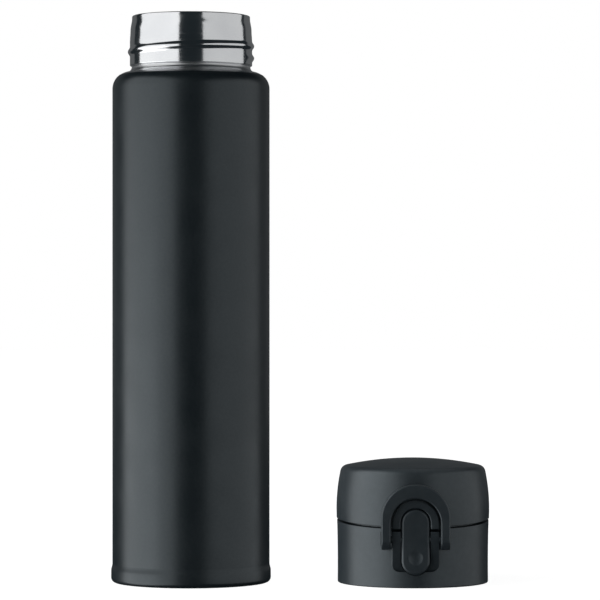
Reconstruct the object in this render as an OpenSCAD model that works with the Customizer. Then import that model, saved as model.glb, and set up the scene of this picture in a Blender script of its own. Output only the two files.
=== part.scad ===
// Vacuum flask with a one-touch drinking lid.
// The open bottle stands on the origin and its lid unit stands beside it on the same ground, cover shut
// and safety ring up. Millimetres, +Z up, and -Y is the side with the push button.

/* [Bottle] */
// Outside diameter of the coated body
body_d = 65; // [64:0.5:72]
// Height from the ground to the rim of the mouth
bottle_h = 234; // [180:1:300]
// Height of the bare steel neck above the shoulder
neck_h = 22.4; // [21.6:0.2:26]
// Radius of the rounded shoulder
shoulder_r = 7; // [5:0.5:8]
// Wall of the outer shell
shell_wall = 0.8; // [0.6:0.1:1]
// Wall of the inner vessel
vessel_wall = 0.5; // [0.4:0.1:0.7]
// Vacuum gap between the two walls
vacuum_gap = 2.4; // [2:0.1:4]
// Height of the foot band
foot_h = 7.7; // [7:0.1:12]

/* [Neck thread] */
// Radius of the neck between the turns of its thread
neck_r = 25.3; // [25:0.1:25.5]
// Lead of the thread
thread_lead = 5; // [4:0.5:6]
// Height of the rolled thread bead
thread_rise = 0.85; // [0.5:0.05:0.9]
// Width of the rolled thread bead
thread_w = 2.4; // [2:0.1:3]

/* [Lid unit] */
// Distance from the bottle's axis to the lid unit's axis
lid_x = 91.8; // [80:0.2:140]
// Outside diameter of the lid base
lid_d = 63; // [62.5:0.5:68]
// Height of the parting line on the lid's axis
split_z = 26.3; // [25.5:0.1:28]
// Slope of the parting line, lower at the front
split_slope = 3.5; // [0:0.1:4]
// Gap between the lid base and the flip cover
split_gap = 0.8; // [0.5:0.1:1]
// Height of the closed lid unit
lid_h = 51.3; // [51:0.1:56]
// Wall of the flip cover
cover_wall = 2.2; // [1.8:0.1:2.4]

/* [Latch] */
// Half width of the safety ring
ring_half_w = 13.9; // [13.5:0.1:15]
// Half width of the raised arch and the rails under it
arch_half_w = 9.7; // [9.2:0.1:9.8]
// Half width of the push button
button_half_w = 5.7; // [5:0.1:5.7]
// Clearance round the push button and the safety ring
latch_gap = 0.35; // [0.3:0.05:0.45]
// Radius of the pivot pin that the button and the ring turn on
pivot_r = 0.9; // [0.7:0.1:1]

/* [Hidden] */
$fn = 96;

coat_colour = [0.17, 0.18, 0.19];
steel_colour = [0.78, 0.79, 0.8];
plastic_colour = [0.2, 0.21, 0.22];
liner_colour = [0.3, 0.31, 0.32];
silicone_colour = [0.72, 0.73, 0.74];

// Bottle: radii and heights that follow from the driving dimensions
body_r = body_d / 2;
shoulder_z = bottle_h - neck_h;
shoulder_axis_z = shoulder_z - shoulder_r;
shell_inner_r = body_r - shell_wall;
foot_seat_r = body_r - 0.7;
foot_r = body_r + 0.55;
shell_bottom_z = 2.4;
lip_r = 24.4;
mouth_r = 23.35;
weld_r = mouth_r + vessel_wall + 0.05;
throat_r = mouth_r - 1.65;
ledge_z = bottle_h - 18;
vessel_r = shell_inner_r - vacuum_gap;
vessel_arc_r = 6;
vessel_arc_z = shoulder_axis_z - 2;
vessel_floor_z = 8.4;
thread_z = bottle_h - 17.4;
thread_from = -25;
thread_to = 395;

// Lid: radii, heights and depths
lid_r = lid_d / 2;
socket_r = 27;
deck_z = 24;
deck_top_z = 26;
deck_r = 28.6;
plug_r = 22;
plug_bore_r = 20.4;
spout_r = 19.5;
spout_bore_r = 17.6;
spout_top_z = 40;
cover_r = lid_r + 0.15;
cover_inner_r = cover_r - 0.35 - cover_wall;
dome_r = 150;
cover_edge_r = 3.8;
dome_edge_r = lid_r - 4.6;
liner_z = 42.6;

// Latch group: depths in front of the lid's axis, and heights
arch_front = lid_r + 1.5;
arch_top = 35.6;
button_front = lid_r + 1.7;
button_back = lid_r - 0.9;
button_top = 32.1;
button_bottom = 5.5;
opening_half_w = button_half_w + latch_gap;
pocket_floor = lid_r - 2.5;
cover_pocket_floor = lid_r - 1.4;
rail_bottom = 6.6;
ring_front = lid_r + 4.1;
ring_back = lid_r - 1;
ring_top = 41.8;
ring_inner_top = 36.5;
ring_inner_half_w = arch_half_w + latch_gap + 0.1;
ring_end_z = 17.4;
pivot_y = -(lid_r - 0.1);
pivot_z = 19.8;
pivot_reach = ring_front + pivot_y + 0.05;
dimple_z = 12.4;
dimple_r = 3.1;
dimple_depth = 0.45;
tooth_z = 28;

// Rear hinge
hinge_y = lid_r + 2.7;
hinge_z = 29.6;
knuckle_r = 2.8;
hinge_pin_r = 1.1;
hinge_half_w = 12.3;
hinge_gap = 0.4;
cover_knuckle_from = 3.2;
cover_knuckle_to = 7.9;

// Points along an arc in the radius and height plane
function arc(r0, z0, r, from, to, steps = 8) =
    [for (i = [0:steps]) let (a = from + (to - from) * i / steps) [r0 + r * cos(a), z0 + r * sin(a)]];

function unit(v) = v / norm(v);

// A bead that winds round the Z axis: rise is outward, or inward when it is negative, and embed is how
// far its root is sunk into the wall
module helical_bead(radius, rise, embed, width, lead, z_start, from, to) {
    rings_per_turn = 48;
    rings = ceil((to - from) / 360 * rings_per_turn);
    root = -sign(rise) * embed;
    section = concat([[root, -width / 2]],
                     [for (u = [-0.85, -0.45, 0, 0.45, 0.85]) [rise * (1 - u * u), u * width / 2]],
                     [[root, width / 2]]);
    count = len(section);
    fade = 30;
    points = [
        for (i = [0:rings]) let (
            a = from + (to - from) * i / rings,
            run_out = min(1, (a - from + 4) / fade, (to + 4 - a) / fade)
        )
        for (p = section) let (
            r = radius + (p[0] == root ? root : p[0] * run_out + root * (1 - run_out) * 0.5)
        )
        [r * cos(a), r * sin(a), z_start + lead * a / 360 + p[1]]
    ];
    sides = [
        for (i = [0:rings - 1], j = [0:count - 1])
        let (k = (j + 1) % count, a = i * count, b = a + count)
        [a + j, a + k, b + k, b + j]
    ];
    caps = [
        [for (j = [count - 1:-1:0]) j],
        [for (j = [0:count - 1]) rings * count + j]
    ];
    flip = rise < 0;
    faces = [for (f = concat(sides, caps)) flip ? [for (i = [len(f) - 1:-1:0]) f[i]] : f];
    polyhedron(points, faces, convexity = 6);
}

// Round wire along a list of points; axis is a direction that the path never runs along
module wire(path, radius, axis) {
    sides = 8;
    last = len(path) - 1;
    points = [
        for (i = [0:last]) let (
            along = unit(path[min(i + 1, last)] - path[max(i - 1, 0)]),
            u = unit(cross(along, axis)),
            v = cross(along, u)
        )
        for (s = [0:sides - 1]) let (a = 360 * s / sides)
        path[i] + radius * (cos(a) * u + sin(a) * v)
    ];
    skin = [
        for (i = [0:last - 1], s = [0:sides - 1])
        let (t = (s + 1) % sides, a = i * sides, b = a + sides)
        [a + s, b + s, b + t, a + t]
    ];
    caps = [
        [for (s = [0:sides - 1]) s],
        [for (s = [sides - 1:-1:0]) last * sides + s]
    ];
    polyhedron(points, concat(skin, caps), convexity = 10);
}

// Places a module of the lid unit on the lid's own axis
module on_lid() {
    translate([lid_x, 0, 0]) children();
}

// A flat outline in X and Z, given depth from near to far in front of the axis
module front_slab(near, far) {
    translate([0, -near, 0]) rotate([90, 0, 0]) linear_extrude(far - near) children();
}

// An outline in Y and Z, given width from x0 to x1
module side_slab(x0, x1) {
    translate([x0, 0, 0]) rotate([90, 0, 90]) linear_extrude(x1 - x0) children();
}

// A round bar along X between two places
module bar_x(x0, x1, y, z, r) {
    translate([x0, y, z]) rotate([0, 90, 0]) cylinder(r = r, h = x1 - x0);
}

// An upright with a half-round top
module arch_2d(half_w, bottom, top) {
    translate([0, top - half_w]) circle(half_w);
    translate([-half_w, bottom]) square([2 * half_w, top - half_w - bottom]);
}

// An upright with half-round ends
module oval_2d(half_w, bottom, top) {
    arch_2d(half_w, bottom + half_w, top);
    translate([0, bottom + half_w]) circle(half_w);
}

// Everything above the sloping parting plane, moved up by offset_z
module above_split(offset_z) {
    reach = 100;
    translate([0, 0, split_z + offset_z]) rotate([split_slope, 0, 0])
        translate([-reach / 2, -reach / 2, 0]) cube([reach, reach, reach]);
}

// Everything below the sloping parting plane, moved up by offset_z
module below_split(offset_z) {
    reach = 100;
    translate([0, 0, split_z + offset_z]) rotate([split_slope, 0, 0])
        translate([-reach / 2, -reach / 2, -reach]) cube([reach, reach, reach]);
}

// ---- Bottle ----

// Coated steel tube drawn in at the top into the bare, threaded neck
module outer_shell() {
    outside = concat(
        [[foot_seat_r, shell_bottom_z], [foot_seat_r, foot_h - 0.2], [body_r, foot_h + 0.4]],
        arc(body_r - shoulder_r, shoulder_axis_z, shoulder_r, 0, 80, 12),
        arc(neck_r + 1.45, shoulder_z + 1.8, 1.95, 265, 180, 6),
        [[neck_r - 0.5, shoulder_z + 2.3], [neck_r, shoulder_z + 3], [neck_r, shoulder_z + 11.1],
         [neck_r - 0.2, shoulder_z + 11.4], [neck_r + 0.15, shoulder_z + 12.2],
         [neck_r + 0.1, shoulder_z + 14], [neck_r - 0.15, shoulder_z + 17]],
        [[neck_r - 0.4, bottle_h - 3], [lip_r, bottle_h - 1.4]],
        arc(lip_r - 0.5, bottle_h - 0.5, 0.5, 0, 90, 4)
    );
    inside = concat(
        [[weld_r, bottle_h], [weld_r, bottle_h - 1.6], [neck_r - 0.85, bottle_h - 5],
         [neck_r - 0.8, shoulder_z + 3.2], [neck_r - 1.25, shoulder_z + 2.4],
         [neck_r - 1.25, shoulder_z + 0.6]],
        arc(body_r - shoulder_r, shoulder_axis_z, shoulder_r - shell_wall, 75, 0, 10),
        [[shell_inner_r, foot_h + 0.4], [foot_seat_r - shell_wall, foot_h - 0.2],
         [foot_seat_r - shell_wall, shell_bottom_z]]
    );
    color(coat_colour) union() {
        rotate_extrude() polygon(concat(outside, inside));
        helical_bead(neck_r, thread_rise, 0.3, thread_w, thread_lead, thread_z, thread_from, thread_to);
    }
}

// Steel liner: the mouth, the ledge that the lid's gasket meets, the throat and the straight wall
module inner_vessel() {
    neck_outer_r = mouth_r + vessel_wall;
    throat_outer_r = throat_r + vessel_wall;
    arc_axis_r = vessel_r - vessel_arc_r;
    fillet_r = arc_axis_r - throat_outer_r;
    inner_arc_r = vessel_arc_r - vessel_wall;
    outside = concat(
        [[vessel_r, vessel_floor_z + 3]],
        arc(arc_axis_r, vessel_arc_z, vessel_arc_r, 0, 90, 10),
        arc(arc_axis_r, vessel_arc_z + vessel_arc_r + fillet_r, fillet_r, 270, 180, 4),
        [[throat_outer_r, ledge_z - 1.2], [neck_outer_r, ledge_z], [neck_outer_r, bottle_h]]
    );
    inside = concat(
        [[neck_outer_r - 0.15, bottle_h], [mouth_r, bottle_h - 0.5], [mouth_r, ledge_z - 0.3],
         [throat_r, ledge_z - 1.5]],
        arc(arc_axis_r, vessel_arc_z + vessel_arc_r + fillet_r, fillet_r + vessel_wall, 180, 270, 4),
        arc(arc_axis_r, vessel_arc_z, inner_arc_r, 90, 0, 10),
        [[vessel_r - vessel_wall, vessel_floor_z + 3]]
    );
    color(steel_colour) rotate_extrude() polygon(concat(outside, inside));
}

// Pressed cap that closes the inner vessel at the bottom
module inner_bottom() {
    rim_r = vessel_r - vessel_wall - 0.05;
    corner_r = 3.4;
    cap_wall = 0.6;
    color(steel_colour) rotate_extrude() polygon(concat(
        [[0, vessel_floor_z]],
        arc(rim_r - corner_r, vessel_floor_z + corner_r, corner_r, 270, 360, 6),
        [[rim_r, vessel_floor_z + 8], [rim_r - cap_wall, vessel_floor_z + 8]],
        arc(rim_r - corner_r, vessel_floor_z + corner_r, corner_r - cap_wall, 0, -90, 6),
        [[0, vessel_floor_z + cap_wall]]
    ));
}

// Metal foil wrapped round the inner vessel, which stops heat radiating across the vacuum
module radiation_foil() {
    foil_r = vessel_r + 0.1;
    foil_wall = 0.25;
    color(steel_colour) translate([0, 0, vessel_floor_z + 6]) difference() {
        cylinder(r = foil_r + foil_wall, h = vessel_arc_z - vessel_floor_z - 8);
        translate([0, 0, -1]) cylinder(r = foil_r, h = vessel_arc_z);
    }
}

// Pressed cap welded into the outer shell, with the hollow and hole that the vacuum is drawn through
module outer_bottom() {
    rim_r = foot_seat_r - shell_wall - 0.05;
    floor_z = 4.2;
    cap_wall = 0.8;
    hollow_r = 4.6;
    color(steel_colour) difference() {
        rotate_extrude() polygon([
            [0, floor_z + 1], [hollow_r, floor_z + 1], [hollow_r + 1, floor_z], [rim_r - 2, floor_z],
            [rim_r - 1, shell_bottom_z], [rim_r, shell_bottom_z], [rim_r, floor_z + cap_wall + 0.4],
            [rim_r - 1.6, floor_z + cap_wall], [hollow_r + 1.4, floor_z + cap_wall],
            [hollow_r + 0.4, floor_z + cap_wall + 1], [0, floor_z + cap_wall + 1]
        ]);
        cylinder(r = 0.6, h = 20);
    }
}

// Bead of sealing glass in the outer bottom's hollow
module vacuum_seal() {
    color([0.35, 0.33, 0.3]) translate([0, 0, 4.1]) cylinder(r1 = 3.4, r2 = 4.2, h = 1.05);
}

// Tablet on the outer bottom that takes up stray gas
module getter() {
    color([0.5, 0.5, 0.52]) translate([15, 0, 5.05]) difference() {
        cylinder(r = 4.5, h = 2);
        translate([0, 0, 1.4]) cylinder(r = 3.4, h = 1);
    }
}

// Foot band: a shallow cup over the bottom of the shell, with a ring groove underneath
module foot_cup() {
    corner_r = 2;
    groove_r = 23;
    groove_w = 1.6;
    groove_depth = 0.8;
    wall_inner_r = foot_seat_r + 0.1;
    floor_top_z = shell_bottom_z - 0.05;
    color(coat_colour) rotate_extrude() polygon(concat(
        [[0, 0], [groove_r, 0], [groove_r + 0.3, groove_depth], [groove_r + groove_w - 0.3, groove_depth],
         [groove_r + groove_w, 0]],
        arc(foot_r - corner_r, corner_r, corner_r, 270, 360, 6),
        [[foot_r, foot_h - 0.4], [foot_r - 0.4, foot_h], [wall_inner_r + 0.2, foot_h],
         [wall_inner_r, foot_h - 0.3], [wall_inner_r, floor_top_z], [0, floor_top_z]]
    ));
}

// ---- Lid unit ----

// Outline of the rails beside the button, in X and Z
module rail_outline_2d(half_w) {
    corner_r = 3.2;
    for (side = [-1, 1]) translate([side * (half_w - corner_r), rail_bottom + corner_r]) circle(corner_r);
    translate([-half_w, rail_bottom + corner_r]) square([2 * half_w, 26]);
    translate([corner_r - half_w, rail_bottom]) square([2 * (half_w - corner_r), corner_r + 1]);
}

// Rails that carry on the cover's arch below the parting line and sink into the wall towards the bottom
module rails() {
    intersection() {
        front_slab(pocket_floor - 0.3, arch_front + 1) rail_outline_2d(arch_half_w);
        side_slab(-arch_half_w - 1, arch_half_w + 1) polygon([
            [-pocket_floor + 1, rail_bottom - 1], [-lid_r + 2, rail_bottom - 1], [-lid_r + 1.7, 8],
            [-lid_r + 0.9, 11], [-lid_r - 0.3, 15], [-lid_r - 1.1, 18.2], [-arch_front, 21.5],
            [-arch_front, 32], [-pocket_floor + 1, 32]
        ]);
    }
}

// One lug of the rear hinge, on the lid base
module base_lug(x0, x1) {
    side_slab(x0, x1) polygon([
        [hinge_y - 6.2, 17], [lid_r - 1.6, 17], [hinge_y + 2.2, hinge_z - 1.7], [hinge_y, hinge_z],
        [lid_r + 0.4, split_z + 1.1], [hinge_y - 6.2, split_z + 1.1]
    ]);
    bar_x(x0, x1, hinge_y, hinge_z, knuckle_r);
}

// Threaded collar with the deck, the plug that enters the mouth, the button's pocket and the hinge lugs
module lid_base() {
    color(plastic_colour) on_lid() difference() {
        union() {
            difference() {
                rotate_extrude() polygon([
                    [lid_r - 1.5, 0], [lid_r - 0.7, 0], [lid_r, 0.7], [lid_r, 40], [deck_r - 0.4, 40],
                    [deck_r - 0.4, deck_z], [socket_r, deck_z], [socket_r, 2.2], [socket_r + 1.5, 2.2]
                ]);
                above_split(-split_gap / 2);
                front_slab(pocket_floor, 60) rail_outline_2d(arch_half_w - 0.1);
            }
            rotate_extrude() polygon([
                [deck_r, deck_z - 2], [deck_r, deck_top_z], [plug_bore_r, deck_top_z],
                [plug_bore_r, 5.5], [plug_r + 0.7, 5.5], [plug_r + 0.7, 6.5], [plug_r, 6.5],
                [plug_r, deck_z], [socket_r, deck_z], [socket_r, deck_z - 2]
            ]);
            difference() {
                rails();
                above_split(-split_gap / 2);
            }
            for (side = [-1, 1])
                base_lug(side > 0 ? cover_knuckle_to + hinge_gap : -hinge_half_w,
                         side > 0 ? hinge_half_w : -cover_knuckle_to - hinge_gap);
            helical_bead(socket_r, -1.25, 0.5, thread_w, thread_lead, 8, 205, 676);
        }
        front_slab(pocket_floor, 60) oval_2d(opening_half_w, button_bottom - latch_gap, 60);
        for (side = [-1, 1])
            bar_x(side > 0 ? arch_half_w : -ring_half_w - latch_gap,
                  side > 0 ? ring_half_w + latch_gap : -arch_half_w, pivot_y, pivot_z, pivot_reach + 0.35);
        bar_x(-arch_half_w - 1, arch_half_w + 1, pivot_y, pivot_z, pivot_r + 0.01);
        bar_x(-20, 20, hinge_y, hinge_z, hinge_pin_r + 0.01);
        front_slab(pocket_floor - 1, 40) translate([0, dimple_z]) circle(2.2);
    }
}

// Drinking mouthpiece, pushed down into the plug's bore
module spout() {
    color(liner_colour) on_lid() rotate_extrude() polygon(concat(
        [[spout_bore_r, 7], [plug_bore_r - 0.05, 7], [plug_bore_r - 0.05, deck_top_z + 0.05],
         [plug_bore_r + 4, deck_top_z + 0.05], [plug_bore_r + 4, deck_top_z + 1.4],
         [spout_r + 0.6, deck_top_z + 1.8], [spout_r, deck_top_z + 2.6]],
        arc(spout_r - 0.95, spout_top_z - 0.95, 0.95, 0, 180, 8)
    ));
}

// Silicone ring on the plug that seals against the ledge inside the mouth
module bottle_gasket() {
    color(silicone_colour) on_lid() rotate_extrude() polygon([
        [plug_r + 0.05, 6.55], [plug_r + 0.8, 6.55], [plug_r + 1.2, 7], [plug_r + 0.7, 7.9],
        [plug_r + 1.2, 8.8], [plug_r + 0.8, 9.6], [plug_r + 0.05, 9.6]
    ]);
}

// Solid outline of the domed cover, grown inward by inset
module cover_solid(inset) {
    edge_z = lid_h - 6.3;
    edge_angle = 90 - asin(dome_edge_r / dome_r);
    dome_steps = 6;
    rotate_extrude() polygon(concat(
        [[0, 10], [cover_r - inset - 0.3, 10], [cover_r - inset - 0.3, 24], [cover_r - inset, 30.5],
         [cover_r - inset - 0.15, 33.5], [cover_r - inset - 0.45, 38.7],
         [lid_r - inset - 0.6, 42]],
        arc(dome_edge_r, edge_z, cover_edge_r - inset, 0, edge_angle, 8),
        [for (i = [dome_steps - 1:-1:0]) let (r = dome_edge_r * i / dome_steps)
            [r, lid_h - inset - r * r / (2 * dome_r)]]
    ));
}

// One knuckle of the rear hinge, on the flip cover
module cover_knuckle(x0, x1) {
    side_slab(x0, x1) polygon([
        [lid_r - 1.8, hinge_z - 0.2], [hinge_y, hinge_z - 0.2], [hinge_y + knuckle_r - 0.02, hinge_z],
        [hinge_y + 2.3, hinge_z + 1.5], [lid_r - 0.1, hinge_z + 8], [lid_r - 1.8, hinge_z + 8]
    ]);
    bar_x(x0, x1, hinge_y, hinge_z, knuckle_r);
}

// Domed flip cover with the raised arch round the button's upper half
module cover_shell() {
    color(plastic_colour) on_lid() difference() {
        union() {
            difference() {
                union() {
                    difference() {
                        cover_solid(0);
                        cover_solid(cover_wall);
                    }
                    front_slab(lid_r - 2, arch_front) arch_2d(arch_half_w, 15, arch_top);
                }
                below_split(split_gap / 2);
                front_slab(cover_pocket_floor, 60) arch_2d(opening_half_w, 10, button_top + latch_gap);
                front_slab(20, 60) translate([-3, 20]) square([6, tooth_z + 2.2 - 20]);
            }
            for (side = [-1, 1])
                cover_knuckle(side > 0 ? cover_knuckle_from : -cover_knuckle_to,
                              side > 0 ? cover_knuckle_to : -cover_knuckle_from);
        }
        bar_x(-20, 20, hinge_y, hinge_z, hinge_pin_r + 0.05);
    }
}

// Inner cap under the dome that carries the spout gasket
module cover_liner() {
    plate_r = cover_inner_r - 0.9;
    ring_r = spout_r + 1.1;
    ring_z = spout_top_z + 0.4;
    color(liner_colour) on_lid() rotate_extrude() polygon([
        [0, liner_z], [ring_r, liner_z], [ring_r, ring_z], [ring_r + 1.6, ring_z],
        [ring_r + 1.6, liner_z], [plate_r, liner_z], [plate_r, liner_z + 2], [5, liner_z + 2],
        [5, lid_h - cover_wall - 0.2], [0, lid_h - cover_wall - 0.2]
    ]);
}

// Silicone disc that shuts the spout
module spout_gasket() {
    disc_r = spout_r + 1;
    color(silicone_colour) on_lid() rotate_extrude() polygon([
        [0, spout_top_z + 1.2], [spout_bore_r - 1, spout_top_z + 1.2], [spout_bore_r - 0.4, spout_top_z + 0.08],
        [disc_r - 0.3, spout_top_z + 0.08], [disc_r, spout_top_z + 0.4], [disc_r, liner_z - 0.05],
        [0, liner_z - 0.05]
    ]);
}

// Pin of the rear hinge
module hinge_pin() {
    color(steel_colour) on_lid() bar_x(-hinge_half_w, hinge_half_w, hinge_y, hinge_z, hinge_pin_r);
}

// Torsion spring round the hinge pin, with one leg on the base and one on the cover
module hinge_spring() {
    coil_r = 1.85;
    wire_r = 0.3;
    turns = 5;
    steps = 20;
    half_w = 2.4;
    centre = [0, hinge_y, hinge_z];
    coil = [
        for (i = [0:turns * steps])
        let (a = 180 + 360 * i / steps)
        centre + [half_w * (2 * i / (turns * steps) - 1), coil_r * cos(a), coil_r * sin(a)]
    ];
    leg_down = centre + [-half_w, -coil_r, -7];
    leg_up = centre + [half_w, -coil_r, 7];
    color(steel_colour) on_lid() wire(concat([leg_down], coil, [leg_up]), wire_r, [1, 0, 0]);
}

// Oval rocker with a thumb dimple, a boss for the pivot pin and the latch tooth on its upper back
module push_button() {
    dimple_ball_r = (dimple_r * dimple_r + dimple_depth * dimple_depth) / (2 * dimple_depth);
    color(plastic_colour) on_lid() difference() {
        union() {
            front_slab(button_back, button_front) oval_2d(button_half_w, button_bottom, button_top);
            bar_x(-button_half_w, button_half_w, pivot_y, pivot_z, pivot_r + 1);
            front_slab(button_back - 1.5, button_back + 0.5) translate([-2.5, tooth_z]) square([5, 1.6]);
        }
        translate([0, dimple_depth - button_front - dimple_ball_r, dimple_z]) sphere(dimple_ball_r);
        front_slab(20, button_back + 1.4) translate([0, dimple_z]) circle(2.2);
        bar_x(-20, 20, pivot_y, pivot_z, pivot_r + 0.05);
    }
}

// Small coil spring that pushes the lower half of the button out
module button_spring() {
    coil_r = 1.6;
    wire_r = 0.22;
    turns = 4;
    steps = 16;
    near = pocket_floor - 1 + wire_r + 0.02;
    far = button_back + 1.4 - wire_r - 0.02;
    path = [
        for (i = [0:turns * steps])
        let (a = 360 * i / steps)
        [coil_r * cos(a), -near - (far - near) * i / (turns * steps), dimple_z + coil_r * sin(a)]
    ];
    color(steel_colour) on_lid() wire(path, wire_r, [0, 1, 0]);
}

// Pin through the rails that the button and the safety ring turn on
module pivot_pin() {
    half_l = ring_half_w - 1;
    color(steel_colour) on_lid() bar_x(-half_l, half_l, pivot_y, pivot_z, pivot_r);
}

// U-shaped safety ring: two legs on the pivot pin and a crown in front of the cover's arch
module lock_ring() {
    color(plastic_colour) on_lid() difference() {
        front_slab(ring_back, ring_front) arch_2d(ring_half_w, ring_end_z, ring_top);
        front_slab(20, 60) arch_2d(ring_inner_half_w, 10, ring_inner_top);
        front_slab(20, arch_front + latch_gap)
            translate([-ring_inner_half_w, 20]) square([2 * ring_inner_half_w, 30]);
        difference() {
            side_slab(-20, 20) translate([-60, 0]) square([80, pivot_z]);
            bar_x(-30, 30, pivot_y, pivot_z, pivot_reach);
        }
        bar_x(-ring_half_w + 0.9, ring_half_w - 0.9, pivot_y, pivot_z, pivot_r + 0.05);
    }
}

outer_shell();
inner_vessel();
inner_bottom();
radiation_foil();
outer_bottom();
vacuum_seal();
getter();
foot_cup();
lid_base();
spout();
bottle_gasket();
cover_shell();
cover_liner();
spout_gasket();
hinge_pin();
hinge_spring();
push_button();
button_spring();
pivot_pin();
lock_ring();
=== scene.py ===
"""Vacuum flask with a one-touch lid: visible pieces, materials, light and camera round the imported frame.

Shapes are made in millimetres and become metres when a piece is finished. The bottle's axis is the Z axis,
the lid unit's axis stands at lid_x, +Z is up and the side with the push button faces -Y. "Depth" is how far
a place lies in front of an axis, so a depth of 33 is y = -33.
"""

from math import atan, atan2, cos, degrees, pi, radians, sin, sqrt, tan

import bmesh
import bpy
from mathutils import Matrix, Vector


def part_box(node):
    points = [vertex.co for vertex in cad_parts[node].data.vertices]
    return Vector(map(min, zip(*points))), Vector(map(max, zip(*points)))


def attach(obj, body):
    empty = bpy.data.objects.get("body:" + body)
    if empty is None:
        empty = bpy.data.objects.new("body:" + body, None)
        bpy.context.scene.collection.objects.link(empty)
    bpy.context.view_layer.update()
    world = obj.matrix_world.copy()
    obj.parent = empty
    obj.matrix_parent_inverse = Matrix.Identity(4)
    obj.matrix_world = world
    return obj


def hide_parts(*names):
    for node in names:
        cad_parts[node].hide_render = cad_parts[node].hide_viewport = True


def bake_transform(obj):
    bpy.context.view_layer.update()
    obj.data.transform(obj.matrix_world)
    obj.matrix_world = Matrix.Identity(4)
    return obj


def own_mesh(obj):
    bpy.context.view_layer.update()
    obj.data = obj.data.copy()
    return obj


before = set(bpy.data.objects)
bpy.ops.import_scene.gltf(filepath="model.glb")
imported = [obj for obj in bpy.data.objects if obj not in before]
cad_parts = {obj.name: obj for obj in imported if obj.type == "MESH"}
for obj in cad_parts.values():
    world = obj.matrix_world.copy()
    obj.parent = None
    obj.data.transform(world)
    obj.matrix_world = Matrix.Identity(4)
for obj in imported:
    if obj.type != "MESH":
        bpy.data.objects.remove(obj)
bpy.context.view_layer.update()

MM = 0.001
SEGMENTS = 192


def cad(node):
    """(lowest corner, highest corner) of a CAD node in millimetres."""
    low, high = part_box(node)
    return low / MM, high / MM


shell_low, shell_high = cad("outer_shell")
foot_high = cad("foot_cup")[1]
base_high = cad("lid_base")[1]
cover_high = cad("cover_shell")[1]
spout_low, spout_high = cad("spout")
ring_low, ring_high = cad("lock_ring")
button_low, button_high = cad("push_button")
pin_low, pin_high = cad("hinge_pin")
pivot_low, pivot_high = cad("pivot_pin")

body_r = shell_high.x
bottle_h = shell_high.z
foot_r = foot_high.x
foot_h = foot_high.z
lid_x = (spout_low.x + spout_high.x) / 2
lid_r = base_high.x - lid_x
lid_top = cover_high.z
hinge_depth = -(pin_low.y + pin_high.y) / 2
hinge_z = (pin_low.z + pin_high.z) / 2
hinge_half_w = (pin_high.x - pin_low.x) / 2
head_r = 2.8
knuckle_x = 7.9
lug_x = 8.3
hinge_pin_r = 1.1
pivot_depth = -(pivot_low.y + pivot_high.y) / 2
pivot_z = (pivot_low.z + pivot_high.z) / 2
pivot_pin_r = 0.9
pin_play = 0.05

# Parting line between the lid base and the cover: a plane that is lower at the front
split_z = 26.3
split_slope = tan(radians(3.5))
split_half_gap = 0.48

# Curve of the cover's side, and the height where its rows stop following the parting line
side_curve = 0.0066
cover_side_z = 33

# Latch group, beside and around the push button
arch_half_w = 9.7
arch_top = 35.6
arch_front = lid_r + 1.5
opening_half_w = 6.05
opening_top = 32.45
opening_bottom = 5.15
pocket_depth = lid_r - 2.5
cover_pocket_depth = lid_r - 1.4
dimple_z = 12.4
spring_seat_r = 2.2
latch_drop = 0.8
rail_foot_z = 6.6
rail_corner_r = 3.2

# How far cuts run, past the wall and past the sides
past_wall = 40
past_side = 20


# ---------------- outlines


def arc(centre_u, centre_v, radius, start, end, steps=10):
    """Points along an arc, with its angles in degrees."""
    turns = [radians(start + (end - start) * i / steps) for i in range(steps + 1)]
    return [Vector((centre_u + radius * cos(a), centre_v + radius * sin(a))) for a in turns]


def straight(*points):
    """Outline through (u, v) points, with sharp corners."""
    return [Vector(point) for point in points]


def rounded(corners, steps=5):
    """Closed outline through (u, v, radius) corners, each rounded by an arc of its radius."""
    outline = []
    for i, (u, v, radius) in enumerate(corners):
        here = Vector((u, v))
        if not radius:
            outline.append(here)
            continue
        back = (Vector(corners[i - 1][:2]) - here).normalized()
        on = (Vector(corners[(i + 1) % len(corners)][:2]) - here).normalized()
        half = back.angle(on) / 2
        centre = here + (back + on).normalized() * radius / sin(half)
        first = here + back * radius / tan(half) - centre
        last = here + on * radius / tan(half) - centre
        start = atan2(first.y, first.x)
        sweep = (atan2(last.y, last.x) - start + pi) % (2 * pi) - pi
        for step in range(steps + 1):
            a = start + sweep * step / steps
            outline.append(centre + radius * Vector((cos(a), sin(a))))
    return outline


def anticlockwise(outline):
    """The outline in anticlockwise order."""
    doubled = sum(a.x * b.y - a.y * b.x for a, b in zip(outline, outline[1:] + outline[:1]))
    return outline if doubled > 0 else outline[::-1]


def inset(outline, distance):
    """An anticlockwise outline moved inward by distance."""
    moved = []
    for i, here in enumerate(outline):
        back = (here - outline[i - 1]).normalized()
        on = (outline[(i + 1) % len(outline)] - here).normalized()
        side = Vector((-back.y - on.y, back.x + on.x)).normalized()
        moved.append(here + side * distance / max(side.dot(Vector((-on.y, on.x))), 0.5))
    return moved


def between(a, b, step):
    """Points from a to b, step apart, without a."""
    count = max(1, round((b - a).length / step))
    return [a.lerp(b, i / count) for i in range(1, count + 1)]


def oval(half_w, bottom, top, steps=40, side_step=100):
    """Upright outline with half-round ends and points side_step apart on its straight sides."""
    high = top - half_w
    low = bottom + half_w
    left = between(*straight((-half_w, high), (-half_w, low)), side_step)[:-1]
    right = between(*straight((half_w, low), (half_w, high)), side_step)[:-1]
    return arc(0, high, half_w, 0, 180, steps) + left + arc(0, low, half_w, 180, 360, steps) + right


def arch(half_w, bottom, top, steps=48):
    """Upright outline with a half-round top and a flat bottom."""
    return arc(0, top - half_w, half_w, 0, 180, steps) + straight((-half_w, bottom), (half_w, bottom))


# ---------------- solids


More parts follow.
